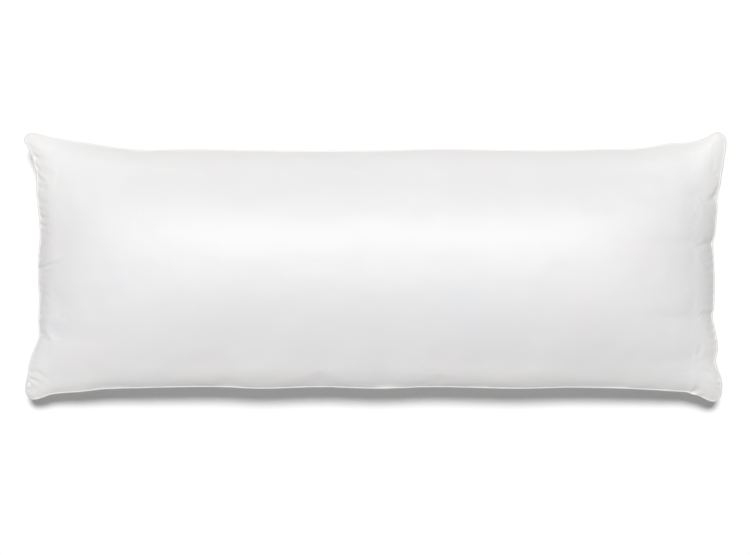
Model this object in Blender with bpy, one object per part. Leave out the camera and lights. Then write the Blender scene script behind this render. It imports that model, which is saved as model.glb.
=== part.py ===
"""Body pillow: a long filled cushion lying on its back, as one closed solid in metres.

Two equal panels are sewn together round a knife-edge seam, turned and stuffed. The filling
crowns both panels, draws the four sides in between the corner tips and puckers the seam.
X runs along the pillow, Y across it and Z up, with the origin on the surface it lies on,
below the middle of its outline.
"""

import bpy
import numpy as np

# Size of the filled pillow
TIP_LENGTH = 1.302  # outline from end to end, along X
TIP_WIDTH = 0.501  # outline from side to side, along Y
TIP_ROUNDING = 0.020  # how far from a corner its rounding begins
END_DRAW_IN = 0.026  # usual draw-in of an end from the line through its corner tips
SIDE_DRAW_IN = 0.030  # the same for a long side
WAIST = 0.04  # share by which the weave's lines draw in at the middle of the pillow

# Heights of the filling
SEAM_HEIGHT = 0.070  # seam above the surface, at the middle of a side
CROWN_RISE = 0.101  # highest point of the upper panel above the seam
PRESS_SHARE = 1.29  # the under panel would bulge this much deeper than the seam's height
PRESS_SOFTNESS = 0.16  # how gradually the under panel turns flat where it rests

# Resting face, flat under the middle and a little drawn in between its corners
REST_ALONG = 0.60  # its share of the pillow's length
REST_ACROSS = 0.36  # its share of the pillow's width
REST_LIFT = 0.0020  # the cloth rises by this much just outside it
REST_LIFT_REACH = 0.012  # within about this distance

# Shape of the crown, as powers of the distance from the middle
END_FULLNESS = 7.0  # along the pillow: a long level back with round ends
SIDE_FULLNESS = 2.25  # across the pillow: like a lens
EDGE_POWER = 1.08  # how the panels meet at the seam: 0.5 upright, 1 as a sharp wedge

# Faces of the mesh
CELLS_ALONG = 64
CELLS_ACROSS = 44
CROWDING_ALONG = 0.62  # 0 spaces the cells evenly, 1 crowds them towards the two ends
CROWDING_ACROSS = 0.35  # the same towards the two long sides
STRAIGHT_SHARE = 0.5  # grid lines stay straight over this share of the way out from the middle
STATION_TURNS = 5  # passes that settle the grid on the outline

# Draw-in of each side from the line through its corner tips, as rows of station and draw-in.
# Long sides are read by X and short sides by Y, both from the middle of the outline.
FAR_SIDE = (
    (-0.651, 0.0000),
    (-0.638, 0.0005),
    (-0.629, 0.0020),
    (-0.610, 0.0070),
    (-0.582, 0.0130),
    (-0.545, 0.0185),
    (-0.508, 0.0240),
    (-0.471, 0.0295),
    (-0.425, 0.0330),
    (-0.341, 0.0320),
    (-0.212, 0.0340),
    (-0.120, 0.0350),
    (0.001, 0.0345),
    (0.121, 0.0315),
    (0.232, 0.0333),
    (0.343, 0.0340),
    (0.417, 0.0320),
    (0.491, 0.0300),
    (0.547, 0.0215),
    (0.584, 0.0190),
    (0.602, 0.0140),
    (0.621, 0.0065),
    (0.632, 0.0005),
    (0.651, 0.0000),
)
NEAR_SIDE = (
    (-0.651, 0.0040),
    (-0.635, 0.0046),
    (-0.615, 0.0103),
    (-0.604, 0.0145),
    (-0.582, 0.0175),
    (-0.545, 0.0205),
    (-0.508, 0.0250),
    (-0.434, 0.0280),
    (-0.286, 0.0300),
    (-0.212, 0.0270),
    (-0.100, 0.0300),
    (0.010, 0.0270),
    (0.103, 0.0300),
    (0.269, 0.0270),
    (0.362, 0.0290),
    (0.491, 0.0255),
    (0.565, 0.0205),
    (0.582, 0.0190),
    (0.592, 0.0145),
    (0.601, 0.0135),
    (0.611, 0.0085),
    (0.626, 0.0020),
    (0.637, 0.0000),
    (0.651, 0.0000),
)
LEFT_END = (
    (-0.250, 0.0000),
    (-0.227, 0.0004),
    (-0.214, 0.0025),
    (-0.199, 0.0062),
    (-0.181, 0.0094),
    (-0.162, 0.0154),
    (-0.144, 0.0230),
    (-0.130, 0.0285),
    (-0.095, 0.0290),
    (-0.060, 0.0305),
    (-0.024, 0.0285),
    (0.013, 0.0285),
    (0.060, 0.0320),
    (0.087, 0.0305),
    (0.115, 0.0280),
    (0.134, 0.0255),
    (0.165, 0.0255),
    (0.176, 0.0245),
    (0.189, 0.0200),
    (0.204, 0.0160),
    (0.217, 0.0110),
    (0.226, 0.0065),
    (0.236, 0.0000),
    (0.250, 0.0000),
)
RIGHT_END = (
    (-0.250, 0.0055),
    (-0.218, 0.0053),
    (-0.201, 0.0088),
    (-0.190, 0.0134),
    (-0.172, 0.0190),
    (-0.160, 0.0170),
    (-0.144, 0.0160),
    (-0.125, 0.0190),
    (-0.107, 0.0230),
    (-0.092, 0.0265),
    (-0.076, 0.0240),
    (-0.054, 0.0230),
    (-0.005, 0.0230),
    (0.030, 0.0250),
    (0.044, 0.0270),
    (0.060, 0.0225),
    (0.087, 0.0190),
    (0.115, 0.0175),
    (0.130, 0.0205),
    (0.143, 0.0155),
    (0.152, 0.0120),
    (0.171, 0.0095),
    (0.189, 0.0060),
    (0.204, 0.0040),
    (0.217, 0.0010),
    (0.250, 0.0000),
)

# How far each corner ear sinks below the seam at mid-side, as rows of end, side and drop
CORNER_DROPS = (
    (-1, 1, 0.012),
    (1, 1, 0.006),
    (-1, -1, 0.036),
    (1, -1, 0.033),
)

# Soft creases that the seam gathers, as troughs in the panels.
# x, y: where the crease meets the seam. heading: degrees from +X, towards its inner end.
# reach: its length. half_width: to where its sides level out. depth: at its deepest.
CREASE_COLUMNS = ("x", "y", "heading", "reach", "half_width", "depth")
UPPER_CREASES = (
    (-0.622, 0.010, 8, 0.110, 0.014, 0.0060),
    (-0.620, -0.092, 27, 0.085, 0.014, 0.0052),
    (-0.623, 0.160, -22, 0.070, 0.014, 0.0055),
    (-0.617, 0.072, -4, 0.060, 0.013, 0.0034),
    (-0.630, -0.205, 15, 0.075, 0.013, 0.0050),
    (-0.596, -0.231, 52, 0.070, 0.013, 0.0044),
    (0.631, 0.130, 200, 0.090, 0.014, 0.0058),
    (0.624, 0.042, 163, 0.100, 0.015, 0.0058),
    (0.624, -0.098, 172, 0.090, 0.015, 0.0055),
    (0.632, -0.172, 158, 0.080, 0.014, 0.0056),
    (0.588, -0.236, 110, 0.065, 0.013, 0.0048),
    (0.012, -0.223, 97, 0.120, 0.030, 0.0034),
    (0.269, -0.223, 80, 0.080, 0.028, 0.0026),
    (-0.212, -0.223, 101, 0.080, 0.028, 0.0026),
    (0.455, -0.224, 70, 0.100, 0.026, 0.0030),
    (-0.166, 0.216, -98, 0.060, 0.028, 0.0026),
    (0.306, 0.217, -75, 0.060, 0.028, 0.0026),
    (-0.434, 0.216, -60, 0.080, 0.024, 0.0036),
)
UNDER_CREASES = (
    (-0.622, 0.030, -6, 0.100, 0.014, 0.0056),
    (-0.620, -0.075, 14, 0.085, 0.014, 0.0052),
    (-0.624, 0.150, -20, 0.075, 0.014, 0.0055),
    (0.626, 0.110, 190, 0.090, 0.014, 0.0056),
    (0.624, -0.020, 176, 0.095, 0.015, 0.0056),
    (0.626, -0.135, 165, 0.080, 0.014, 0.0054),
    (-0.350, -0.221, 84, 0.080, 0.028, 0.0034),
    (-0.060, -0.221, 95, 0.090, 0.030, 0.0032),
    (0.210, -0.221, 88, 0.085, 0.030, 0.0034),
    (0.440, -0.224, 102, 0.080, 0.026, 0.0032),
    (-0.300, 0.216, -85, 0.080, 0.028, 0.0032),
    (0.060, 0.216, -94, 0.090, 0.030, 0.0034),
    (0.390, 0.217, -99, 0.080, 0.026, 0.0032),
)

# Shallow hollows where the filling lies thinner
HOLLOW_COLUMNS = ("x", "y", "half_length", "half_width", "depth")
HOLLOWS = (
    (0.015, 0.000, 0.070, 0.300, 0.0035),
    (-0.500, 0.120, 0.090, 0.080, 0.0025),
    (0.520, -0.060, 0.080, 0.110, 0.0025),
    (-0.260, -0.140, 0.120, 0.060, 0.0020),
)


def smooth_through(rows, at):
    """Values at the given stations on a smooth curve through the (station, value) rows."""
    stations, values = np.array(rows).T
    rise = np.diff(values) / np.diff(stations)
    slopes = np.concatenate([rise[:1], (rise[:-1] + rise[1:]) / 2, rise[-1:]])
    at = np.clip(at, stations[0], stations[-1])
    row = np.clip(np.searchsorted(stations, at) - 1, 0, len(stations) - 2)
    gap = stations[row + 1] - stations[row]
    t = (at - stations[row]) / gap
    ahead = t * t * (3 - 2 * t)
    leaving = t * (1 - t) ** 2 * slopes[row]
    arriving = t * t * (1 - t) * slopes[row + 1]
    return values[row] * (1 - ahead) + values[row + 1] * ahead + gap * (leaving - arriving)


def spaced(cells, crowding):
    """Cell lines from -1 to 1, closer together towards both ends."""
    even = np.linspace(-1, 1, cells + 1)
    return (1 - crowding) * even + crowding * np.sin(even * np.pi / 2)


def panel_places():
    """The flat places of the panel's points, -1 to 1 both ways, with the corners rounded."""
    lines_along = spaced(CELLS_ALONG, CROWDING_ALONG)
    lines_across = spaced(CELLS_ACROSS, CROWDING_ACROSS)
    along, across = np.meshgrid(lines_along, lines_across, indexing="ij")
    round_along = TIP_ROUNDING / (TIP_LENGTH / 2)
    round_across = TIP_ROUNDING / (TIP_WIDTH / 2)
    s = np.clip((np.abs(along) - 1 + round_along) / round_along, 0, 1)
    t = np.clip((np.abs(across) - 1 + round_across) / round_across, 0, 1)
    rounded_s = s * np.sqrt(1 - t * t / 2)
    rounded_t = t * np.sqrt(1 - s * s / 2)
    along = along + np.sign(along) * (rounded_s - s) * round_along
    across = across + np.sign(across) * (rounded_t - t) * round_across
    return along, across


def towards_rim(share):
    """How much a grid line at this share of the way to the rim follows the rim's own curve."""
    t = np.clip((share - STRAIGHT_SHARE) / (1 - STRAIGHT_SHARE), 0, 1)
    return t * t * (3 - 2 * t)


def outline_places(along, across):
    """The panel's points drawn in to the filled outline, in metres, with the outline centred."""
    half_length = TIP_LENGTH / 2 - END_DRAW_IN
    half_width = TIP_WIDTH / 2 - SIDE_DRAW_IN
    length_waist = half_length * (1 - WAIST * (1 - across**2))
    width_waist = half_width * (1 - WAIST * (1 - along**2))
    x = along * TIP_LENGTH / 2
    y = across * TIP_WIDTH / 2
    # each turn reads the draw-in nearer to where the points come to lie
    for turn in range(STATION_TURNS):
        left = length_waist - TIP_LENGTH / 2 + smooth_through(LEFT_END, y)
        right = TIP_LENGTH / 2 - smooth_through(RIGHT_END, y) - length_waist
        near = width_waist - TIP_WIDTH / 2 + smooth_through(NEAR_SIDE, x)
        far = TIP_WIDTH / 2 - smooth_through(FAR_SIDE, x) - width_waist
        x = along * length_waist + np.where(along < 0, left, right) * towards_rim(np.abs(along))
        y = across * width_waist + np.where(across < 0, near, far) * towards_rim(np.abs(across))
    x = (x - (x.min() + x.max()) / 2) * TIP_LENGTH / np.ptp(x)
    y = (y - (y.min() + y.max()) / 2) * TIP_WIDTH / np.ptp(y)
    return x, y


def crown(along, across):
    """How full the filling is, from 0 at the seam to 1 at the middle."""
    lengthwise = np.clip(1 - np.abs(along) ** END_FULLNESS, 0, 1)
    crosswise = np.clip(1 - np.abs(across) ** SIDE_FULLNESS, 0, 1)
    return (lengthwise * crosswise) ** EDGE_POWER


def seam_heights(along, across):
    """Height of the seam's surface under and over each point: level but for the corner ears."""
    height = np.full(along.shape, SEAM_HEIGHT)
    for end, side, drop in CORNER_DROPS:
        near_end = np.clip(along * end, 0, 1) ** 6
        near_side = np.clip(across * side, 0, 1) ** 4
        height -= drop * near_end * near_side
    return height


def hollow_depths(x, y):
    """How deep the hollows lie at each point of the upper panel."""
    depths = np.zeros(x.shape)
    for row in HOLLOWS:
        hollow = dict(zip(HOLLOW_COLUMNS, row))
        along = (x - hollow["x"]) / hollow["half_length"]
        across = (y - hollow["y"]) / hollow["half_width"]
        depths += hollow["depth"] * np.exp(-(along**2) - across**2)
    return depths


def crease_depths(x, y, creases):
    """How deep the creases press into the panel at each point."""
    depths = np.zeros(x.shape)
    for row in creases:
        crease = dict(zip(CREASE_COLUMNS, row))
        heading = np.radians(crease["heading"])
        east, north = x - crease["x"], y - crease["y"]
        inward = east * np.cos(heading) + north * np.sin(heading)
        beside = north * np.cos(heading) - east * np.sin(heading)
        share = np.clip(inward / crease["reach"], 0, 1)
        width = crease["half_width"] * (1 + share)
        trough = np.exp(-((beside / width) ** 2)) * (1 - share) ** 2
        outside = np.exp(-((np.minimum(inward, 0) / crease["half_width"]) ** 2))
        depths = np.maximum(depths, crease["depth"] * trough * outside)
    return depths


def settle(depth):
    """The under panel's depth below the seam, pressed flat where it would pass the surface.

    depth is a share of the seam's height. The result is 1 where the panel is pressed level.
    """
    start = 1 - PRESS_SOFTNESS
    over = np.clip((depth - start) / (2 * PRESS_SOFTNESS), 0, 1)
    eased = start + 2 * PRESS_SOFTNESS * (over - over * over / 2)
    return np.where(depth < start, depth, eased)


def off_resting_face(along, across):
    """How far each point of the under panel lies outside the resting face."""
    beyond_end = np.maximum(np.abs(along) - REST_ALONG, 0) * TIP_LENGTH / 2
    beyond_side = np.maximum(np.abs(across) - REST_ACROSS, 0) * TIP_WIDTH / 2
    return np.hypot(beyond_end, beyond_side)


def panel_heights(x, y, along, across):
    """Heights of the upper and the under panel."""
    fullness = crown(along, across)
    seam = seam_heights(along, across)
    upper = seam + (CROWN_RISE - hollow_depths(x, y)) * fullness
    inside = np.clip(fullness * 4, 0, 1)
    upper -= crease_depths(x, y, UPPER_CREASES) * inside
    under = seam * (1 - settle(fullness * PRESS_SHARE))
    dent = crease_depths(x, y, UNDER_CREASES) * inside
    under += dent * np.clip(under / (SEAM_HEIGHT / 4), 0, 1)
    away = off_resting_face(along, across)
    under += REST_LIFT * (1 - np.exp(-away / REST_LIFT_REACH)) * inside
    under[away == 0] = 0
    return upper, under


def pillow_mesh():
    """Two gridded panels that share their rim, as one closed mesh."""
    along, across = panel_places()
    x, y = outline_places(along, across)
    upper, under = panel_heights(x, y, along, across)
    rim = np.zeros(x.shape, bool)
    rim[[0, -1], :] = True
    rim[:, [0, -1]] = True
    rim_height = seam_heights(along, across)
    upper[rim] = rim_height[rim]

    upper_index = np.arange(x.size).reshape(x.shape)
    under_index = upper_index.copy()
    under_index[~rim] = x.size + np.arange((~rim).sum())
    upper_points = np.stack([x, y, upper], axis=-1).reshape(-1, 3)
    under_points = np.stack([x, y, under], axis=-1)[~rim]
    points = np.concatenate([upper_points, under_points])

    faces = []
    for index, turned in ((upper_index, False), (under_index, True)):
        corners = (index[:-1, :-1], index[1:, :-1], index[1:, 1:], index[:-1, 1:])
        quads = np.stack(corners, axis=-1).reshape(-1, 4)
        faces.append(quads[:, ::-1] if turned else quads)
    mesh = bpy.data.meshes.new("pillow")
    mesh.from_pydata(points.tolist(), [], np.concatenate(faces).tolist())
    mesh.update()
    return mesh


def cotton():
    """White cotton cover."""
    material = bpy.data.materials.new("white_cotton")
    material.use_nodes = True
    shader = material.node_tree.nodes["Principled BSDF"]
    shader.inputs["Base Color"].default_value = (0.90, 0.90, 0.90, 1)
    shader.inputs["Roughness"].default_value = 0.85
    shader.inputs["Metallic"].default_value = 0.0
    return material


def build():
    for old in list(bpy.data.objects):
        bpy.data.objects.remove(old)
    pillow = bpy.data.objects.new("pillow", pillow_mesh())
    pillow.data.materials.append(cotton())
    pillow.data.shade_smooth()
    bpy.context.scene.collection.objects.link(pillow)


build()
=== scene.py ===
import bpy
import numpy as np
from mathutils import Matrix, Vector, noise


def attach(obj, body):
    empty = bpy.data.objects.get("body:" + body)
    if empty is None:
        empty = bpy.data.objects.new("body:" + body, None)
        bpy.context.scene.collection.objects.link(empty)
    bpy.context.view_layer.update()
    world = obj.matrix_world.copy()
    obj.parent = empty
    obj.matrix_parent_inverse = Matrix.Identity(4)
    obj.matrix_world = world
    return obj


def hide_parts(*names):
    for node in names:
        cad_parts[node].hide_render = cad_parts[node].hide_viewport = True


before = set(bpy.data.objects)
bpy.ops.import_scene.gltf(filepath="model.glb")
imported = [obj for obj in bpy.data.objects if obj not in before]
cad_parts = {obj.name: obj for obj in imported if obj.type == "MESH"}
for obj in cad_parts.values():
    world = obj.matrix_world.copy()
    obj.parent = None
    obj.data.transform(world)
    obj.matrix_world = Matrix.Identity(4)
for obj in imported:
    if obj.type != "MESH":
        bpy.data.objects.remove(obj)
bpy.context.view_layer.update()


# The pillow's own form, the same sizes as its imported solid, in metres

form = {
    "tipLength": 1.302,  # outline from end to end
    "tipWidth": 0.501,  # outline from side to side
    "tipRounding": 0.020,  # how far from a corner its rounding begins
    "endDrawIn": 0.026,
    "sideDrawIn": 0.030,
    "waist": 0.04,  # share by which the weave's lines draw in at the middle of the pillow
    "straightShare": 0.5,  # weave lines stay straight over this share of the way out
    "seamHeight": 0.070,
    "crownRise": 0.101,  # upper panel above the seam
    "pressShare": 1.29,  # under panel would bulge this much deeper than the seam's height
    "pressSoftness": 0.16,
    "restAlong": 0.60,  # flat resting face, as a share of the length
    "restAcross": 0.36,
    "restLift": 0.0020,
    "restLiftReach": 0.012,
    "endFullness": 7.0,
    "sideFullness": 2.25,
    "edgePower": 1.08,  # 0.5 meets the seam upright, 1 as a sharp wedge
    "earAlong": 6,  # how closely a sinking ear keeps to its corner
    "earAcross": 4,
}

# Draw-in of each side from the line through its corner tips: (station, draw-in)
outline = {
    "far": (
        (-0.651, 0.0000), (-0.638, 0.0005), (-0.629, 0.0020), (-0.610, 0.0070), (-0.582, 0.0130),
        (-0.545, 0.0185), (-0.508, 0.0240), (-0.471, 0.0295), (-0.425, 0.0330), (-0.341, 0.0320),
        (-0.212, 0.0340), (-0.120, 0.0350), (0.001, 0.0345), (0.121, 0.0315), (0.232, 0.0333),
        (0.343, 0.0340), (0.417, 0.0320), (0.491, 0.0300), (0.547, 0.0215), (0.584, 0.0190),
        (0.602, 0.0140), (0.621, 0.0065), (0.632, 0.0005), (0.651, 0.0000),
    ),
    "near": (
        (-0.651, 0.0040), (-0.635, 0.0046), (-0.615, 0.0103), (-0.604, 0.0145), (-0.582, 0.0175),
        (-0.545, 0.0205), (-0.508, 0.0250), (-0.434, 0.0280), (-0.286, 0.0300), (-0.212, 0.0270),
        (-0.100, 0.0300), (0.010, 0.0270), (0.103, 0.0300), (0.269, 0.0270), (0.362, 0.0290),
        (0.491, 0.0255), (0.565, 0.0205), (0.582, 0.0190), (0.592, 0.0145), (0.601, 0.0135),
        (0.611, 0.0085), (0.626, 0.0020), (0.637, 0.0000), (0.651, 0.0000),
    ),
    "left": (
        (-0.250, 0.0000), (-0.227, 0.0004), (-0.214, 0.0025), (-0.199, 0.0062), (-0.181, 0.0094),
        (-0.162, 0.0154), (-0.144, 0.0230), (-0.130, 0.0285), (-0.095, 0.0290), (-0.060, 0.0305),
        (-0.024, 0.0285), (0.013, 0.0285), (0.060, 0.0320), (0.087, 0.0305), (0.115, 0.0280),
        (0.134, 0.0255), (0.165, 0.0255), (0.176, 0.0245), (0.189, 0.0200), (0.204, 0.0160),
        (0.217, 0.0110), (0.226, 0.0065), (0.236, 0.0000), (0.250, 0.0000),
    ),
    "right": (
        (-0.250, 0.0055), (-0.218, 0.0053), (-0.201, 0.0088), (-0.190, 0.0134), (-0.172, 0.0190),
        (-0.160, 0.0170), (-0.144, 0.0160), (-0.125, 0.0190), (-0.107, 0.0230), (-0.092, 0.0265),
        (-0.076, 0.0240), (-0.054, 0.0230), (-0.005, 0.0230), (0.030, 0.0250), (0.044, 0.0270),
        (0.060, 0.0225), (0.087, 0.0190), (0.115, 0.0175), (0.130, 0.0205), (0.143, 0.0155),
        (0.152, 0.0120), (0.171, 0.0095), (0.189, 0.0060), (0.204, 0.0040), (0.217, 0.0010),
        (0.250, 0.0000),
    ),
}

# How far each corner ear sinks: end, side, drop
cornerDrops = ((-1, 1, 0.012), (1, 1, 0.006), (-1, -1, 0.036), (1, -1, 0.033))

# Shallow hollows where the filling lies thinner: x, y, half length, half width, depth
hollows = (
    (0.015, 0.000, 0.070, 0.300, 0.0035),
    (-0.500, 0.120, 0.090, 0.080, 0.0025),
    (0.520, -0.060, 0.080, 0.110, 0.0025),
    (-0.260, -0.140, 0.120, 0.060, 0.0020),
)


def smoothThrough(rows, at):
    # values at the given stations on a smooth curve through the (station, value) rows
    stations, values = np.array(rows).T
    rise = np.diff(values) / np.diff(stations)
    slopes = np.concatenate([rise[:1], (rise[:-1] + rise[1:]) / 2, rise[-1:]])
    at = np.clip(at, stations[0], stations[-1])
    row = np.clip(np.searchsorted(stations, at) - 1, 0, len(stations) - 2)
    gap = stations[row + 1] - stations[row]
    t = (at - stations[row]) / gap
    ahead = t * t * (3 - 2 * t)
    leaving = t * (1 - t) ** 2 * slopes[row]
    arriving = t * t * (1 - t) * slopes[row + 1]
    return values[row] * (1 - ahead) + values[row + 1] * ahead + gap * (leaving - arriving)


def smoothStep(value, low, high):
    # 0 up to low and 1 from high on, with a soft start and end
    t = np.clip((value - low) / (high - low), 0, 1)
    return t * t * (3 - 2 * t)


def panelPlaces(linesAlong, linesAcross):
    # flat places of a panel's points, -1 to 1 both ways, with its corners rounded
    along, across = np.meshgrid(linesAlong, linesAcross, indexing="ij")
    roundAlong = form["tipRounding"] / (form["tipLength"] / 2)
    roundAcross = form["tipRounding"] / (form["tipWidth"] / 2)
    s = np.clip((np.abs(along) - 1 + roundAlong) / roundAlong, 0, 1)
    t = np.clip((np.abs(across) - 1 + roundAcross) / roundAcross, 0, 1)
    roundedS = s * np.sqrt(1 - t * t / 2)
    roundedT = t * np.sqrt(1 - s * s / 2)
    along = along + np.sign(along) * (roundedS - s) * roundAlong
    across = across + np.sign(across) * (roundedT - t) * roundAcross
    return along, across


def outlinePlaces(along, across):
    # the points drawn in to the filled outline, in metres, with the outline centred
    length, width = form["tipLength"], form["tipWidth"]
    lengthWaist = (length / 2 - form["endDrawIn"]) * (1 - form["waist"] * (1 - across**2))
    widthWaist = (width / 2 - form["sideDrawIn"]) * (1 - form["waist"] * (1 - along**2))
    followAlong = smoothStep(np.abs(along), form["straightShare"], 1)
    followAcross = smoothStep(np.abs(across), form["straightShare"], 1)
    x, y = along * length / 2, across * width / 2
    for turn in range(5):  # each turn reads the draw-in nearer to where the points come to lie
        left = lengthWaist - length / 2 + smoothThrough(outline["left"], y)
        right = length / 2 - smoothThrough(outline["right"], y) - lengthWaist
        near = widthWaist - width / 2 + smoothThrough(outline["near"], x)
        far = width / 2 - smoothThrough(outline["far"], x) - widthWaist
        x = along * lengthWaist + np.where(along < 0, left, right) * followAlong
        y = across * widthWaist + np.where(across < 0, near, far) * followAcross
    x = (x - (x.min() + x.max()) / 2) * length / np.ptp(x)
    y = (y - (y.min() + y.max()) / 2) * width / np.ptp(y)
    return x, y


def crownShare(along, across):
    # how full the filling is, from 0 at the seam to 1 at the middle
    lengthwise = np.clip(1 - np.abs(along) ** form["endFullness"], 0, 1)
    crosswise = np.clip(1 - np.abs(across) ** form["sideFullness"], 0, 1)
    return (lengthwise * crosswise) ** form["edgePower"]


def seamHeights(along, across):
    # level but for the corner ears
    height = np.full(along.shape, form["seamHeight"])
    for end, side, drop in cornerDrops:
        nearEnd = np.clip(along * end, 0, 1) ** form["earAlong"]
        nearSide = np.clip(across * side, 0, 1) ** form["earAcross"]
        height -= drop * nearEnd * nearSide
    return height


def pressed(depth):
    # share of the seam's height that the under panel sinks, levelled where it meets the floor
    soft = form["pressSoftness"]
    over = np.clip((depth - 1 + soft) / (2 * soft), 0, 1)
    return np.where(depth < 1 - soft, depth, 1 - soft + 2 * soft * (over - over * over / 2))


def offRestingFace(along, across):
    # how far each point lies outside the flat resting face
    beyondEnd = np.maximum(np.abs(along) - form["restAlong"], 0) * form["tipLength"] / 2
    beyondSide = np.maximum(np.abs(across) - form["restAcross"], 0) * form["tipWidth"] / 2
    return np.hypot(beyondEnd, beyondSide)


def panelHeights(x, y, along, across):
    fullness = crownShare(along, across)
    seam = seamHeights(along, across)
    hollow = np.zeros(x.shape)
    for cx, cy, halfLength, halfWidth, depth in hollows:
        hollow += depth * np.exp(-(((x - cx) / halfLength) ** 2) - ((y - cy) / halfWidth) ** 2)
    upper = seam + (form["crownRise"] - hollow) * fullness
    under = seam * (1 - pressed(fullness * form["pressShare"]))
    away = offRestingFace(along, across)
    inside = np.clip(fullness * 4, 0, 1)  # the lift fades out to nothing at the seam
    under += form["restLift"] * (1 - np.exp(-away / form["restLiftReach"])) * inside
    under[away == 0] = 0
    return upper, under


# Cover: two cotton panels over the filling, settled by the cloth solver

cover = {
    "cellsAlong": 118,  # cells of the cloth while it settles
    "cellsAcross": 98,
    "endCells": 0.42,  # cell length at the ends, against the middle
    "endZone": (0.70, 0.84),  # the cells shorten between these shares of the way out
    "cutLength": 1.310,  # each panel before filling
    "cutWidth": 0.510,
    "frames": 14,
    "quality": 6,  # solver steps for each frame
    "pressure": 40.0,
    "pointMass": 0.001,
    "stretch": 2000.0,
    "shear": 300.0,
    "bending": 0.02,
    "damping": 5,
    "bendingDamping": 0.5,
    "airDamping": 1,
    "hold": 2.0,  # how firmly the filling keeps its form
    "holdMost": 0.95,  # the most that the filling holds a point, 1 would fix it
    "holdFade": 0.12,  # reached this far in from the seam
    "seamHold": 0.95,  # the stitching holds the rim
    "seamHoldReach": 0.012,  # and lets go this far in
    "easeEnds": 0.0045,  # spare cloth gathered into the seam at the two ends
    "easeSides": 0.0006,  # and along the two sides
    "easeReach": 0.060,  # how far in from the seam it lies
    "cornerBlend": 0.05,  # one ease turns into the other this near a corner's diagonal
    "ripple": 0.0003,  # faint unevenness that the gathers start from
    "moveCap": 0.010,  # no point moves further than this while it settles
    "bulgeShare": 0.6,  # cloth keeps at least this share of the form's distance inside the seam
    "bulgeSoftness": 0.0012,
    "halfLength": 0.65,  # round sizes, for distances in from the seam
    "halfWidth": 0.25,
    "pullReach": 0.05,  # how far in the cloth follows its rim back to the outline
    "lumps": 0.0009,  # uneven filling
    "lumpSize": 0.085,
    "fineLumps": 2.3,  # and lumps this many times smaller, half as high
    "seamFade": 0.010,  # lumps fade out this near the seam
    "creaseFade": 0.006,  # and creases this near
    "restFade": (0.001, 0.012),  # the under panel's own begin between these heights above the floor
    "seamToneReach": 0.012,  # how far in from the seam the cotton looks creamier
}

# Creases read from the photo, on the upper panel. x, y: where the crease meets the seam.
# heading: degrees from +X, inward. side: which side its raised lip lies on, 1 is to its left.
creaseColumns = ("x", "y", "heading", "reach", "halfWidth", "depth", "lip", "side")
creaseShape = {
    "spread": 0.8,  # how much wider a crease is at its inner end
    "overSeam": 0.012,  # it fades out this far beyond its starting point
    "lipOffset": 1.7,  # its lip's distance from its middle, in half widths
}
upperCreases = (
    (-0.616, -0.002, 17, 0.060, 0.0034, 0.0026, 0.0024, 1),
    (-0.616, -0.012, 14, 0.030, 0.0036, 0.0018, 0.0004, 1),
    (-0.616, -0.091, 27, 0.034, 0.0030, 0.0022, 0.0016, -1),
    (-0.617, -0.125, 20, 0.016, 0.0032, 0.0010, 0.0004, 1),
    (-0.633, 0.204, -12, 0.024, 0.0042, 0.0032, 0.0010, -1),
    (-0.629, 0.184, -20, 0.016, 0.0036, 0.0024, 0.0010, -1),
    (-0.621, 0.166, -45, 0.022, 0.0032, 0.0012, 0.0014, 1),
    (-0.617, 0.148, -10, 0.018, 0.0036, 0.0018, 0.0006, 1),
    (-0.616, 0.118, 8, 0.016, 0.0034, 0.0016, 0.0006, -1),
    (-0.615, 0.091, -6, 0.018, 0.0034, 0.0017, 0.0006, 1),
    (-0.614, 0.077, -14, 0.015, 0.0032, 0.0014, 0.0005, 1),
    (-0.616, 0.017, 10, 0.017, 0.0034, 0.0014, 0.0006, 1),
    (-0.616, -0.048, 4, 0.014, 0.0036, 0.0012, 0.0004, -1),
    (-0.645, -0.214, -42, 0.022, 0.0027, 0.0018, 0.0016, 1),
    (-0.640, -0.207, -26, 0.030, 0.0027, 0.0015, 0.0011, 1),
    (-0.622, -0.196, -34, 0.034, 0.0036, 0.0009, 0.0003, 1),
    (0.628, 0.129, 168, 0.018, 0.0034, 0.0014, 0.0005, 1),
    (0.624, 0.043, 136, 0.034, 0.0027, 0.0013, 0.0006, -1),
    (0.628, 0.088, 136, 0.028, 0.0027, 0.0010, 0.0005, -1),
    (0.622, -0.006, 136, 0.034, 0.0027, 0.0012, 0.0005, -1),
    (0.622, -0.093, 176, 0.014, 0.0030, 0.0007, 0.0002, 1),
    (0.630, -0.176, 190, 0.010, 0.0032, 0.0016, 0.0004, 1),
    (0.592, -0.236, 62, 0.018, 0.0042, 0.0040, 0.0014, -1),
    (0.636, -0.232, 128, 0.050, 0.0050, 0.0010, 0.0005, 1),
    (0.020, -0.223, 96, 0.120, 0.0200, 0.0016, 0.0004, 1),
    (0.195, -0.222, 84, 0.090, 0.0180, 0.0012, 0.0003, 1),
    (0.454, -0.224, 74, 0.080, 0.0180, 0.0014, 0.0004, -1),
    (-0.265, -0.221, 99, 0.090, 0.0180, 0.0013, 0.0003, -1),
    (-0.166, 0.216, -98, 0.040, 0.0140, 0.0013, 0.0003, 1),
    (0.306, 0.217, -75, 0.040, 0.0140, 0.0013, 0.0003, 1),
    (-0.434, 0.216, -60, 0.060, 0.0160, 0.0016, 0.0003, 1),
)

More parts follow.
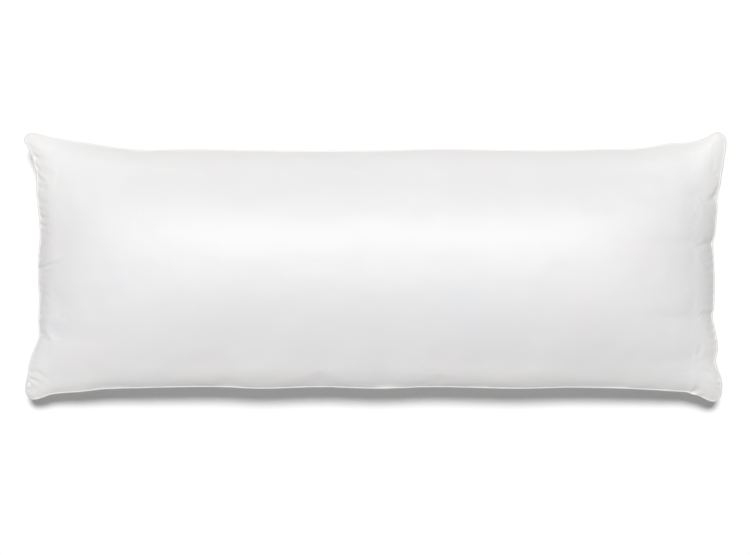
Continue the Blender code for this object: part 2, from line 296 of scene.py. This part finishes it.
# The under panel isn't seen in the photo: creases of the same kind
underCreases = (
    (-0.616, 0.030, -6, 0.060, 0.0070, 0.0024, 0.0010, 1),
    (-0.614, -0.075, 14, 0.050, 0.0070, 0.0022, 0.0010, -1),
    (-0.618, 0.150, -20, 0.045, 0.0070, 0.0024, 0.0008, 1),
    (0.622, 0.110, 190, 0.050, 0.0070, 0.0024, 0.0010, 1),
    (0.621, -0.020, 176, 0.055, 0.0070, 0.0022, 0.0008, -1),
    (0.622, -0.135, 165, 0.050, 0.0070, 0.0022, 0.0008, 1),
    (-0.350, -0.221, 84, 0.070, 0.0160, 0.0020, 0.0004, 1),
    (-0.060, -0.221, 95, 0.080, 0.0180, 0.0020, 0.0004, 1),
    (0.210, -0.221, 88, 0.075, 0.0180, 0.0020, 0.0004, -1),
    (0.440, -0.224, 102, 0.070, 0.0160, 0.0020, 0.0004, 1),
    (-0.300, 0.216, -85, 0.070, 0.0160, 0.0020, 0.0004, -1),
    (0.060, 0.216, -94, 0.080, 0.0180, 0.0020, 0.0004, 1),
    (0.390, 0.217, -99, 0.070, 0.0160, 0.0020, 0.0004, 1),
)

# Small regular gathers that the stitching draws up beside the seam
gathers = {
    "pitch": 0.0165,
    "reach": 0.024,  # how far up the cloth they fade out
    "endDepth": 0.00085,  # at the two ends
    "sideDepth": 0.00035,  # at the long sides
    "unevenness": 0.65,
    "driftSize": 0.06,  # over this length the gathers come closer and further apart
    "strengthSize": 0.045,  # and over this one stronger and weaker
    "strength": 0.75,  # share of their depth that most gathers have
    "strengthChange": 1.1,
    "start": 0.004,  # they reach their depth this far in from the seam
    "turnToEnd": (-0.01, 0.03),  # side gathers turn into end gathers over this difference of distances
}


def rimMask(shape):
    rim = np.zeros(shape, bool)
    rim[[0, -1], :] = True
    rim[:, [0, -1]] = True
    return rim


def panelIndex(shape):
    # point numbers of the upper and the under panel, which share their rim
    upperIndex = np.arange(shape[0] * shape[1]).reshape(shape)
    underIndex = upperIndex.copy()
    inner = ~rimMask(shape)
    underIndex[inner] = upperIndex.size + np.arange(inner.sum())
    return upperIndex, underIndex


def panelFaces(shape):
    faces = []
    for index, turned in zip(panelIndex(shape), (False, True)):
        corners = (index[:-1, :-1], index[1:, :-1], index[1:, 1:], index[:-1, 1:])
        quads = np.stack(corners, axis=-1).reshape(-1, 4)
        faces.append(quads[:, ::-1] if turned else quads)
    return np.concatenate(faces)


def joinPanels(upper, under):
    inner = ~rimMask(upper.shape[:2])
    return np.concatenate([upper.reshape(-1, upper.shape[-1]), under[inner]])


def splitPanels(points, shape):
    upperIndex, underIndex = panelIndex(shape)
    return points[upperIndex], points[underIndex]


def noiseField(points, size, seed):
    # smooth hills and hollows, mostly within -1 to 1, about this size in metres
    shift = Vector((seed * 3.7, seed * 5.3, seed * 1.9))
    flat = points.reshape(-1, 3) / size
    values = [noise.noise(Vector(p) + shift) for p in flat]
    return np.array(values).reshape(points.shape[:-1])


def newObject(name, mesh):
    piece = bpy.data.objects.new(name, mesh)
    bpy.context.scene.collection.objects.link(piece)
    return piece


def settleCloth(upper, under, along, across):
    # both panels start on the filling's form, and spare cloth beside the seam puckers as it settles
    shape = along.shape
    points = joinPanels(upper, under)
    mesh = bpy.data.meshes.new("settling_cloth")
    mesh.from_pydata(points.tolist(), [], panelFaces(shape).tolist())
    cloth = newObject("settling_cloth", mesh)

    fromEnd = (1 - np.abs(along)) * form["tipLength"] / 2
    fromSide = (1 - np.abs(across)) * form["tipWidth"] / 2
    inward = np.minimum(fromEnd, fromSide)
    held = smoothStep(inward, 0, cover["holdFade"]) * cover["holdMost"]
    held = np.maximum(held, cover["seamHold"] * np.clip(1 - inward / cover["seamHoldReach"], 0, 1))
    heldUnder = np.maximum(held, cover["holdMost"] * (under[..., 2] < 1e-6))
    mostEase = max(cover["easeEnds"], cover["easeSides"])
    nearEnd = smoothStep(fromSide - fromEnd, -cover["cornerBlend"], cover["cornerBlend"])
    ease = cover["easeSides"] + (cover["easeEnds"] - cover["easeSides"]) * nearEnd
    ease = ease * np.clip(1 - inward / cover["easeReach"], 0, 1) / mostEase
    groups = {
        "held": joinPanels(held[..., None], heldUnder[..., None]).ravel(),
        "taut": 1 - joinPanels(ease[..., None], ease[..., None]).ravel(),
    }
    for name, weights in groups.items():
        group = cloth.vertex_groups.new(name=name)
        for number, weight in enumerate(weights.tolist()):
            group.add([number], weight, "REPLACE")

    solver = cloth.modifiers.new("settle", "CLOTH")
    settings = solver.settings
    settings.quality = cover["quality"]
    settings.mass = cover["pointMass"]
    settings.tension_stiffness = settings.compression_stiffness = cover["stretch"]
    settings.shear_stiffness = cover["shear"]
    settings.bending_stiffness = cover["bending"]
    settings.tension_damping = settings.compression_damping = cover["damping"]
    settings.shear_damping = cover["damping"]
    settings.bending_damping = cover["bendingDamping"]
    settings.air_damping = cover["airDamping"]
    settings.use_pressure = True
    settings.uniform_pressure_force = cover["pressure"]
    settings.vertex_group_mass = "held"
    settings.pin_stiffness = cover["hold"]
    settings.vertex_group_shrink = "taut"
    settings.shrink_max = 0
    settings.shrink_min = -mostEase
    settings.effector_weights.gravity = 0
    solver.collision_settings.use_collision = False
    solver.point_cache.frame_end = cover["frames"] + 1
    for step in range(1, cover["frames"] + 1):
        bpy.context.scene.frame_set(step)
    settled = cloth.evaluated_get(bpy.context.evaluated_depsgraph_get())
    result = np.empty(len(points) * 3, np.float32)
    settled.data.vertices.foreach_get("co", result)
    bpy.context.scene.frame_set(1)
    bpy.data.objects.remove(cloth)
    bpy.data.meshes.remove(mesh)

    move = result.reshape(-1, 3) - points
    far = np.linalg.norm(move, axis=1)
    cap = cover["moveCap"]
    points = points + move * (cap * np.tanh(far / cap) / np.maximum(far, 1e-9))[:, None]
    print("cloth settled, it moved by at most", round(float(far.max()) * 1000, 1), "mm")
    return splitPanels(points, shape)


def doubled(grid):
    # twice the lines both ways, on smooth curves through the old ones
    for turn in range(2):
        ahead = np.concatenate([grid[1:], 2 * grid[-1:] - grid[-2:-1]])
        behind = np.concatenate([2 * grid[:1] - grid[1:2], grid[:-1]])
        middle = (9 * (grid[:-1] + grid[1:]) - behind[:-1] - ahead[1:]) / 16
        finer = np.empty((2 * len(grid) - 1,) + grid.shape[1:])
        finer[0::2] = grid
        finer[1::2] = middle
        grid = np.swapaxes(finer, 0, 1)
    return grid


def gridNormals(grid, outward):
    # outward: 1 for the upper panel, -1 for the under one
    normals = np.cross(np.gradient(grid, axis=0), np.gradient(grid, axis=1))
    normals /= np.maximum(np.linalg.norm(normals, axis=-1, keepdims=True), 1e-12)
    return normals * outward


def creaseDepths(x, y, creases):
    # each crease is a trough with a low lip along one side
    depths = np.zeros(x.shape)
    for row in creases:
        crease = dict(zip(creaseColumns, row))
        heading = np.radians(crease["heading"])
        east, north = x - crease["x"], y - crease["y"]
        inward = east * np.cos(heading) + north * np.sin(heading)
        beside = north * np.cos(heading) - east * np.sin(heading)
        share = np.clip(inward / crease["reach"], 0, 1)
        width = crease["halfWidth"] * (1 + creaseShape["spread"] * share)
        beyond = np.minimum(inward, 0) / creaseShape["overSeam"]
        fade = (1 - share**2) ** 2 * np.exp(-(beyond**2))
        trough = crease["depth"] * np.exp(-((beside / width) ** 2))
        lipPlace = beside - crease["side"] * creaseShape["lipOffset"] * width
        depths += (trough - crease["lip"] * np.exp(-((lipPlace / width) ** 2))) * fade
    return depths


def rimLoop(grid):
    # the rim's points once round, counter-clockwise seen from above
    return np.concatenate([grid[:-1, 0], grid[-1, :-1], grid[:0:-1, -1], grid[0, :0:-1]])


def setRim(grid, loop):
    # the same way round as rimLoop
    along, across = grid.shape[0] - 1, grid.shape[1] - 1
    grid[:-1, 0] = loop[:along]
    grid[-1, :-1] = loop[along:along + across]
    grid[:0:-1, -1] = loop[along + across:2 * along + across]
    grid[0, :0:-1] = loop[2 * along + across:]


def seamMeasure(grid):
    # for each point of a panel: its distance up the cloth from the seam, the seam's station there,
    # and whether that is an end, from 0 to 1
    loop = rimLoop(grid)
    steps = np.linalg.norm(np.roll(loop, -1, axis=0) - loop, axis=1)
    loopStation = np.concatenate([[0], np.cumsum(steps)[:-1]])
    stations = np.zeros(grid.shape[:2])
    setRim(stations, loopStation)
    fromNear = np.cumsum(np.linalg.norm(np.diff(grid, axis=1), axis=-1), axis=1)
    fromNear = np.concatenate([np.zeros((grid.shape[0], 1)), fromNear], axis=1)
    fromFar = fromNear[:, -1:] - fromNear
    fromLeft = np.cumsum(np.linalg.norm(np.diff(grid, axis=0), axis=-1), axis=0)
    fromLeft = np.concatenate([np.zeros((1, grid.shape[1])), fromLeft])
    fromRight = fromLeft[-1:] - fromLeft
    ways = np.stack([fromNear, fromFar, fromLeft, fromRight])
    nearest = ways.argmin(axis=0)
    rims = (stations[:, :1], stations[:, -1:], stations[:1, :], stations[-1:, :])
    rims = np.stack([np.broadcast_to(rim, nearest.shape) for rim in rims])
    station = np.take_along_axis(rims, nearest[None], axis=0)[0]
    further = np.minimum(fromNear, fromFar) - np.minimum(fromLeft, fromRight)
    endness = smoothStep(further, *gathers["turnToEnd"])
    return ways.min(axis=0), station, endness


def gatherDepths(distance, station, endness, seed):
    # waves along the seam, uneven in pitch and strength
    depth = gathers["sideDepth"] + (gathers["endDepth"] - gathers["sideDepth"]) * endness
    flat = np.stack([station, np.zeros_like(station), np.zeros_like(station)], axis=-1)
    drift = noiseField(flat, gathers["driftSize"], seed) * gathers["unevenness"]
    change = gathers["strengthChange"] * noiseField(flat, gathers["strengthSize"], seed + 1)
    strength = np.clip(gathers["strength"] + change, 0, 1.5)
    wave = 0.5 + 0.5 * np.cos(2 * np.pi * (station / gathers["pitch"] + drift))
    rise = smoothStep(distance, 0, gathers["start"])
    return depth * strength * wave**2 * rise * np.exp(-((distance / gathers["reach"]) ** 2))


def keepInside(grid, basis):
    # the cloth bulges hardly further over the seam than the filled form does
    soft = cover["bulgeSoftness"]
    rim = rimLoop(grid).copy()
    for axis in (0, 1):
        turned, base = np.swapaxes(grid, 0, axis), np.swapaxes(basis, 0, axis)
        for end, way in ((0, 1), (-1, -1)):
            edge, baseEdge = turned[[end], :, axis], base[[end], :, axis]
            inward = (turned[..., axis] - edge) * way
            least = (base[..., axis] - baseEdge) * way * cover["bulgeShare"]
            turned[..., axis] = edge + way * soft * np.logaddexp(inward / soft, least / soft)
    setRim(grid, rim)


def evenLines(cells, halfSize, fullness, endCells):
    # weave lines from -1 to 1, even along the cloth as it climbs the crown; endCells under 1 packs the ends
    fine = np.linspace(-1, 1, 4001)
    height = form["crownRise"] * (1 - np.abs(fine) ** fullness) ** form["edgePower"]
    step = np.hypot(np.diff(fine) * halfSize, np.diff(height))
    middle = (fine[1:] + fine[:-1]) / 2
    packed = smoothStep(np.abs(middle), *cover["endZone"])
    step = step / (endCells + (1 - endCells) * (1 - packed))
    run = np.concatenate([[0], np.cumsum(step)])
    return np.interp(np.linspace(0, run[-1], cells + 1), run, fine)


def buildCoverPoints():
    halfLength, halfWidth = form["tipLength"] / 2, form["tipWidth"] / 2
    linesAlong = evenLines(cover["cellsAlong"], halfLength, form["endFullness"], cover["endCells"])
    linesAcross = evenLines(cover["cellsAcross"], halfWidth, form["sideFullness"], 1)
    along, across = panelPlaces(linesAlong, linesAcross)
    x, y = outlinePlaces(along, across)
    upperHeight, underHeight = panelHeights(x, y, along, across)
    rim = rimMask(x.shape)
    upperHeight[rim] = underHeight[rim] = seamHeights(along, across)[rim]
    upper = np.stack([x, y, upperHeight], axis=-1)
    under = np.stack([x, y, underHeight], axis=-1)
    seamLine = rimLoop(upper).copy()
    basis = (doubled(upper), doubled(under))
    ripple = cover["ripple"]
    upper[..., 2] += ripple * noiseField(upper, 0.036, 3)
    under[..., 2] += ripple * noiseField(under, 0.036, 9) * (underHeight > 0.0005) * ~rim
    upper, under = settleCloth(upper, under, along, across)
    return upper, under, along, across, seamLine, basis


def finishCover(upper, under, along, across, seamLine, basis):
    # finer cloth, pulled back to the photo's outline, with its creases, gathers and uneven filling
    flat = doubled(np.stack([along, across], axis=-1))
    drift = np.zeros(upper.shape)
    setRim(drift, seamLine - rimLoop(upper))
    fromEnd = (1 - np.abs(along)) * cover["halfLength"]
    fromSide = (1 - np.abs(across)) * cover["halfWidth"]
    fade = 1 - smoothStep(np.minimum(fromEnd, fromSide), 0, cover["pullReach"])
    back = seamPull(drift, along, across, fromEnd, fromSide) * fade[..., None]
    upper, under = doubled(upper + back), doubled(under + back)
    outward = {"upper": 1, "under": -1}
    panels = {"upper": upper, "under": under}
    creases = {"upper": upperCreases, "under": underCreases}
    for seed, name in enumerate(panels):
        grid = panels[name]
        distance, station, endness = seamMeasure(grid)
        normals = gridNormals(grid, outward[name])
        x, y = grid[..., 0], grid[..., 1]
        free = smoothStep(distance, 0, cover["seamFade"])
        lumps = noiseField(grid, cover["lumpSize"], 20 + seed)
        lumps = lumps + 0.5 * noiseField(grid, cover["lumpSize"] / cover["fineLumps"], 30 + seed)
        dent = creaseDepths(x, y, creases[name]) * smoothStep(distance, 0, cover["creaseFade"])
        dent += gatherDepths(distance, station, endness, 40 + seed)
        change = cover["lumps"] * lumps * free - dent
        if name == "under":
            change *= smoothStep(grid[..., 2], *cover["restFade"])
        grid += normals * change[..., None]
        keepInside(grid, basis[seed])
        grid[..., 2] = np.maximum(grid[..., 2], 0)
    restingFlat = offRestingFace(flat[..., 0], flat[..., 1]) == 0
    panels["under"][restingFlat, 2] = 0
    return panels["upper"], panels["under"], flat


def seamPull(drift, along, across, fromEnd, fromSide):
    # spreads the rim's own pull inward along the weave lines, most from the nearest side
    endWeight = 1 / np.maximum(fromEnd, 1e-4) ** 2
    sideWeight = 1 / np.maximum(fromSide, 1e-4) ** 2
    total = (endWeight + sideWeight)[..., None]
    endPull = np.where(along[..., None] < 0, drift[:1, :], drift[-1:, :])
    sidePull = np.where(across[..., None] < 0, drift[:, :1], drift[:, -1:])
    pull = (endPull * endWeight[..., None] + sidePull * sideWeight[..., None]) / total
    setRim(pull, rimLoop(drift))
    return pull


def makeCover():
    upper, under, along, across, seamLine, basis = buildCoverPoints()
    upper, under, flat = finishCover(upper, under, along, across, seamLine, basis)
    loop = rimLoop(upper)
    sewn = loop - loopOutward(loop) * (seam["reach"] * seam["turnIn"])
    for grid in (upper, under):
        setRim(grid, sewn)
    shape = upper.shape[:2]
    mesh = bpy.data.meshes.new("pillow_cover")
    mesh.from_pydata(joinPanels(upper, under).tolist(), [], panelFaces(shape).tolist())
    mesh.update()

    layout = []  # weave map: the upper panel fills its lower half and the under panel its upper half
    for lift in (0.0, 0.5):
        place = np.stack([(flat[..., 0] + 1) / 2, (flat[..., 1] + 1) / 4 + lift], axis=-1)
        cells = (place[:-1, :-1], place[1:, :-1], place[1:, 1:], place[:-1, 1:])
        cells = np.stack(cells, axis=-2).reshape(-1, 4, 2)
        layout.append(cells[:, ::-1] if lift else cells)
    places = mesh.uv_layers.new(name="weave").data
    places.foreach_set("uv", np.concatenate(layout).astype(np.float32).ravel())

    reach = cover["seamToneReach"]
    nearSeam = [np.exp(-seamMeasure(grid)[0] / reach)[..., None] for grid in (upper, under)]
    attribute = mesh.attributes.new("near_seam", "FLOAT", "POINT")
    attribute.data.foreach_set("value", joinPanels(*nearSeam).astype(np.float32).ravel())
    mesh.shade_smooth()
    piece = newObject("pillow_cover", mesh)
    print("cover made,", len(mesh.polygons) * 2, "triangles")
    return piece, sewn


# Seam: the turned edge where the two panels are sewn together

seam = {
    "reach": 0.0022,  # from the panels' meeting line to the outer edge
    "turnIn": 0.7,  # the panels meet this share of the reach inside the outline
    "halfWidth": 0.85,  # of the edge, as a share of the reach
    "halfThickness": 0.0011,
    "thinning": 0.35,  # how much thinner its outer half is
    "swell": 0.22,  # its faint thicker and thinner stretches
    "swellLength": 0.02,
    "stitchPitch": 0.0029,
    "pucker": 0.14,  # how much each stitch pinches the edge
    "ringStep": 0.0009,
    "sides": 8,  # of its cross-section
}


def loopOutward(loop):
    # level directions out of the closed loop
    ahead = np.roll(loop, -2, axis=0) - np.roll(loop, 2, axis=0)
    outward = np.stack([ahead[:, 1], -ahead[:, 0], np.zeros(len(loop))], axis=-1)
    return outward / np.linalg.norm(outward, axis=1, keepdims=True)


def evenLoop(loop, step):
    # the loop at even steps and slightly smoothed, with each point's station and the whole length
    closed = np.concatenate([loop, loop[:1]])
    run = np.concatenate([[0], np.cumsum(np.linalg.norm(np.diff(closed, axis=0), axis=1))])
    count = int(run[-1] / step)
    at = np.linspace(0, run[-1], count, endpoint=False)
    places = np.stack([np.interp(at, run, closed[:, k]) for k in range(3)], axis=-1)
    for turn in range(3):
        places = (np.roll(places, 1, axis=0) + 2 * places + np.roll(places, -1, axis=0)) / 4
    return places, at, run[-1]


def makeSeam(loop):
    # a thin rounded edge along the loop, pinched by each stitch
    places, station, length = evenLoop(loop, seam["ringStep"])
    ahead = np.roll(places, -1, axis=0) - np.roll(places, 1, axis=0)
    ahead /= np.linalg.norm(ahead, axis=1, keepdims=True)
    outward = loopOutward(places)
    outward -= ahead * (outward * ahead).sum(axis=1, keepdims=True)
    outward /= np.linalg.norm(outward, axis=1, keepdims=True)
    upward = np.cross(ahead, -outward)
    pinch = 1 - seam["pucker"] * (0.5 + 0.5 * np.cos(2 * np.pi * station / seam["stitchPitch"])) ** 2
    flat = np.stack([station, np.zeros_like(station), np.zeros_like(station)], axis=-1)
    swell = 1 + seam["swell"] * noiseField(flat, seam["swellLength"], 50)
    halfWidth = seam["reach"] * seam["halfWidth"] * swell
    halfThickness = seam["halfThickness"] * pinch * swell
    rings = []
    for side in range(seam["sides"]):
        angle = 2 * np.pi * side / seam["sides"]
        across = np.cos(angle) * halfWidth
        lift = np.sin(angle) * halfThickness * (1 - seam["thinning"] * np.cos(angle))
        rings.append(places + outward * across[:, None] + upward * lift[:, None])
    points = np.stack(rings, axis=1)
    count, sides = points.shape[:2]
    index = np.arange(count * sides).reshape(count, sides)
    nextRing, nextSide = np.roll(index, -1, axis=0), np.roll(index, -1, axis=1)
    corners = (index, nextRing, np.roll(nextRing, -1, axis=1), nextSide)
    faces = np.stack(corners, axis=-1).reshape(-1, 4)
    mesh = bpy.data.meshes.new("turned_seam")
    mesh.from_pydata(points.reshape(-1, 3).tolist(), [], faces.tolist())
    mesh.update()
    mesh.shade_smooth()
    print("seam made,", round(float(length), 2), "m round")
    return newObject("turned_seam", mesh)


# Materials

cotton = {
    "tone": (0.800, 0.799, 0.797),
    "coolTone": (0.786, 0.789, 0.803),
    "warmTone": (0.803, 0.786, 0.786),
    "seamTone": (0.800, 0.785, 0.760),
    "roughness": 0.52,
    "specular": 0.65,
    "sheen": 0.04,
    "sheenRoughness": 0.45,
    "cloudScale": 9.0,  # faint cool and warm clouds for each metre
    "threadPitch": 0.00045,
    "weaveHeight": 0.00002,
    "slubs": 0.4,  # thick and thin threads
    "crumpleScale": 38.0,
    "crumpleHeight": 0.00035,
}


def groupNodes(name, inputs, outputs):
    # an empty node group with these sockets, as (name, kind, value) and (name, kind)
    group = bpy.data.node_groups.new(name, "ShaderNodeTree")
    for socket, kind, value in inputs:
        entry = group.interface.new_socket(socket, in_out="INPUT", socket_type=kind)
        if value is not None:
            entry.default_value = value
    for socket, kind in outputs:
        group.interface.new_socket(socket, in_out="OUTPUT", socket_type=kind)
    nodes = group.nodes
    return group, nodes.new("NodeGroupInput"), nodes.new("NodeGroupOutput")


def mathNode(tree, operation, first, second=None):
    node = tree.nodes.new("ShaderNodeMath")
    node.operation = operation
    for socket, value in zip(node.inputs, (first, second)):
        if value is None:
            continue
        if isinstance(value, bpy.types.NodeSocket):
            tree.links.new(value, socket)
        else:
            socket.default_value = value
    return node.outputs[0]


def weaveGroup():
    # plain weave: warp and weft pass over each other, with thicker and thinner threads
    group, given, result = groupNodes(
        "plain_weave",
        (
            ("Place", "NodeSocketVector", None),
            ("Threads", "NodeSocketFloat", 2200.0),
            ("Slubs", "NodeSocketFloat", 0.4),
        ),
        (("Height", "NodeSocketFloat"),),
    )
    links = group.links
    split = group.nodes.new("ShaderNodeSeparateXYZ")
    links.new(given.outputs["Place"], split.inputs[0])
    turns = mathNode(group, "MULTIPLY", given.outputs["Threads"], np.pi)
    warp = mathNode(group, "SINE", mathNode(group, "MULTIPLY", split.outputs["X"], turns))
    weft = mathNode(group, "SINE", mathNode(group, "MULTIPLY", split.outputs["Y"], turns))
    over = mathNode(group, "MULTIPLY", warp, weft)
    slubs = []
    for stretch in ((14, 420, 1), (420, 14, 1)):  # streaks 70 mm long and 2.4 mm wide, both ways
        place = group.nodes.new("ShaderNodeMapping")
        place.inputs["Scale"].default_value = stretch
        links.new(given.outputs["Place"], place.inputs["Vector"])
        streak = group.nodes.new("ShaderNodeTexNoise")
        streak.inputs["Scale"].default_value = 1
        streak.inputs["Detail"].default_value = 2
        links.new(place.outputs[0], streak.inputs["Vector"])
        slubs.append(streak.outputs[0])
    slub = mathNode(group, "MULTIPLY", mathNode(group, "ADD", *slubs), given.outputs["Slubs"])
    links.new(mathNode(group, "ADD", over, slub), result.inputs["Height"])
    return group


def toneGroup():
    # faint cool and warm clouds over a white cloth
    group, given, result = groupNodes(
        "cloth_tone",
        (
            ("Place", "NodeSocketVector", None),
            ("White", "NodeSocketColor", (0.8, 0.8, 0.8, 1)),
            ("Cool", "NodeSocketColor", (0.8, 0.8, 0.8, 1)),
            ("Warm", "NodeSocketColor", (0.8, 0.8, 0.8, 1)),
            ("Cloud Scale", "NodeSocketFloat", 9.0),
        ),
        (("Color", "NodeSocketColor"),),
    )
    color = given.outputs["White"]
    for name, seed in (("Cool", 2.0), ("Warm", 7.0)):
        place = group.nodes.new("ShaderNodeMapping")
        place.inputs["Location"].default_value = (seed, seed * 1.7, seed * 0.6)
        group.links.new(given.outputs["Place"], place.inputs["Vector"])
        cloud = group.nodes.new("ShaderNodeTexNoise")
        cloud.inputs["Detail"].default_value = 3
        group.links.new(place.outputs[0], cloud.inputs["Vector"])
        group.links.new(given.outputs["Cloud Scale"], cloud.inputs["Scale"])
        ramp = group.nodes.new("ShaderNodeMapRange")  # only the noise's hills show as clouds
        ramp.inputs["From Min"].default_value = 0.46
        ramp.inputs["From Max"].default_value = 0.72
        group.links.new(cloud.outputs[0], ramp.inputs["Value"])
        mix = group.nodes.new("ShaderNodeMix")
        mix.data_type = "RGBA"
        group.links.new(ramp.outputs[0], mix.inputs["Factor"])
        group.links.new(color, mix.inputs[6])
        group.links.new(given.outputs[name], mix.inputs[7])
        color = mix.outputs[2]
    group.links.new(color, result.inputs["Color"])
    return group


weave = weaveGroup()
tone = toneGroup()


def cottonMaterial(name, cloth, mapSize=None):
    # mapSize: metres that the weave map covers; without one the weave follows the object's own metres
    material = bpy.data.materials.new(name)
    material.use_nodes = True
    tree = material.node_tree
    shader = tree.nodes["Principled BSDF"]
    shader.inputs["Roughness"].default_value = cloth["roughness"]
    shader.inputs["Sheen Weight"].default_value = cloth["sheen"]
    shader.inputs["Sheen Roughness"].default_value = cloth["sheenRoughness"]
    shader.inputs["Specular IOR Level"].default_value = cloth["specular"]
    coordinates = tree.nodes.new("ShaderNodeTexCoord")
    metres = tree.nodes.new("ShaderNodeMapping")
    metres.inputs["Scale"].default_value = mapSize or (1, 1, 1)
    tree.links.new(coordinates.outputs["UV" if mapSize else "Object"], metres.inputs["Vector"])

    clouds = tree.nodes.new("ShaderNodeGroup")
    clouds.node_tree = tone
    clouds.inputs["White"].default_value = (*cloth["tone"], 1)
    clouds.inputs["Cool"].default_value = (*cloth["coolTone"], 1)
    clouds.inputs["Warm"].default_value = (*cloth["warmTone"], 1)
    clouds.inputs["Cloud Scale"].default_value = cloth["cloudScale"]
    tree.links.new(coordinates.outputs["Object"], clouds.inputs["Place"])
    threads = tree.nodes.new("ShaderNodeGroup")
    threads.node_tree = weave
    threads.inputs["Threads"].default_value = 1 / cloth["threadPitch"]
    threads.inputs["Slubs"].default_value = cloth["slubs"]
    tree.links.new(metres.outputs[0], threads.inputs["Place"])

    color = clouds.outputs["Color"]
    if mapSize:  # the cover turns creamier beside its seam
        edge = tree.nodes.new("ShaderNodeAttribute")
        edge.attribute_name = "near_seam"
        creamy = tree.nodes.new("ShaderNodeMix")
        creamy.data_type = "RGBA"
        tree.links.new(edge.outputs["Fac"], creamy.inputs["Factor"])
        tree.links.new(color, creamy.inputs[6])
        creamy.inputs[7].default_value = (*cloth["seamTone"], 1)
        color = creamy.outputs[2]
    tree.links.new(color, shader.inputs["Base Color"])

    crumple = tree.nodes.new("ShaderNodeTexNoise")
    crumple.inputs["Scale"].default_value = cloth["crumpleScale"]
    crumple.inputs["Detail"].default_value = 5
    crumple.inputs["Roughness"].default_value = 0.45
    tree.links.new(coordinates.outputs["Object"], crumple.inputs["Vector"])
    height = mathNode(tree, "MULTIPLY", crumple.outputs[0], cloth["crumpleHeight"])
    thread = mathNode(tree, "MULTIPLY", threads.outputs["Height"], cloth["weaveHeight"])
    bump = tree.nodes.new("ShaderNodeBump")
    bump.inputs["Distance"].default_value = 1.0
    tree.links.new(mathNode(tree, "ADD", height, thread), bump.inputs["Height"])
    tree.links.new(bump.outputs[0], shader.inputs["Normal"])
    return material


# The pieces

pillowCover, seamLoop = makeCover()
pillowCover.data.materials.append(
    cottonMaterial("cotton_cover", cotton, (cover["cutLength"], 2 * cover["cutWidth"], 1))
)
turnedSeam = makeSeam(seamLoop)
turnedSeam.data.materials.append(
    cottonMaterial("cotton_seam", {**cotton, "tone": cotton["seamTone"]})
)
for piece in (pillowCover, turnedSeam):
    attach(piece, "root")
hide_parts("pillow")


# White floor and soft studio light

lightColumns = ("name", "strength", "size", "tilt", "turn", "shadow")
studio = {
    "floorTone": (0.94, 0.94, 0.94),
    "bounceTone": (0.45, 0.45, 0.45),  # the floor as the pillow sees it
    "floorSize": 80.0,
    "floorGap": 0.0004,  # floor below the resting face
    "lights": (
        ("key_light", 2.77, 18.0, 24.5, 0.0, True),
        ("near_light", 0.98, 20.0, -60.0, 22.0, False),
        ("far_light", 0.29, 20.0, 60.0, 20.0, False),
    ),
    "fillTone": (1.0, 1.0, 1.0),
    "fillStrength": 0.092,
    "backdropStrength": 1.0,  # the white beyond the floor, as the camera sees it
    "cameraHeight": 3.731,
    "cameraPlace": (0.0004, -0.0190),
    "lens": 95.0,
}


def makeStudio():
    half = studio["floorSize"] / 2
    low = -studio["floorGap"]
    mesh = bpy.data.meshes.new("studio_floor")
    corners = [(-half, -half, low), (half, -half, low), (half, half, low), (-half, half, low)]
    mesh.from_pydata(corners, [], [(0, 1, 2, 3)])
    floor = newObject("studio_floor", mesh)
    material = bpy.data.materials.new("studio_white")
    material.use_nodes = True
    shader = material.node_tree.nodes["Principled BSDF"]
    seen = material.node_tree.nodes.new("ShaderNodeLightPath")
    paint = material.node_tree.nodes.new("ShaderNodeMix")
    paint.data_type = "RGBA"
    paint.inputs[6].default_value = (*studio["bounceTone"], 1)
    paint.inputs[7].default_value = (*studio["floorTone"], 1)
    material.node_tree.links.new(seen.outputs["Is Camera Ray"], paint.inputs["Factor"])
    material.node_tree.links.new(paint.outputs[2], shader.inputs["Base Color"])
    shader.inputs["Roughness"].default_value = 1.0
    shader.inputs["Specular IOR Level"].default_value = 0.0
    mesh.materials.append(material)

    for row in studio["lights"]:
        light = dict(zip(lightColumns, row))
        lamp = bpy.data.lights.new(light["name"], "SUN")
        lamp.energy = light["strength"]
        lamp.angle = np.radians(light["size"])
        lamp.use_shadow = light["shadow"]
        source = bpy.data.objects.new(light["name"], lamp)
        tilt = Matrix.Rotation(np.radians(-light["tilt"]), 4, "X")
        source.matrix_world = Matrix.Rotation(np.radians(-light["turn"]), 4, "Y") @ tilt
        bpy.context.scene.collection.objects.link(source)

    world = bpy.data.worlds.new("studio_air")
    world.use_nodes = True
    sky = world.node_tree.nodes["Background"]
    sky.inputs["Color"].default_value = (*studio["fillTone"], 1)
    sightline = world.node_tree.nodes.new("ShaderNodeLightPath")
    backdrop = world.node_tree.nodes.new("ShaderNodeMix")
    backdrop.inputs[2].default_value = studio["fillStrength"]
    backdrop.inputs[3].default_value = studio["backdropStrength"]
    world.node_tree.links.new(sightline.outputs["Is Camera Ray"], backdrop.inputs["Factor"])
    world.node_tree.links.new(backdrop.outputs[0], sky.inputs["Strength"])
    bpy.context.scene.world = world

    camera = bpy.data.cameras.new("photo_camera")
    camera.lens = studio["lens"]
    camera.sensor_width = 36.0
    camera.clip_end = 200.0
    viewer = bpy.data.objects.new("photo_camera", camera)
    viewer.location = (*studio["cameraPlace"], studio["cameraHeight"])
    bpy.context.scene.collection.objects.link(viewer)
    bpy.context.scene.camera = viewer
    bpy.context.scene.view_settings.view_transform = "Standard"


makeStudio()
print("studio set up")
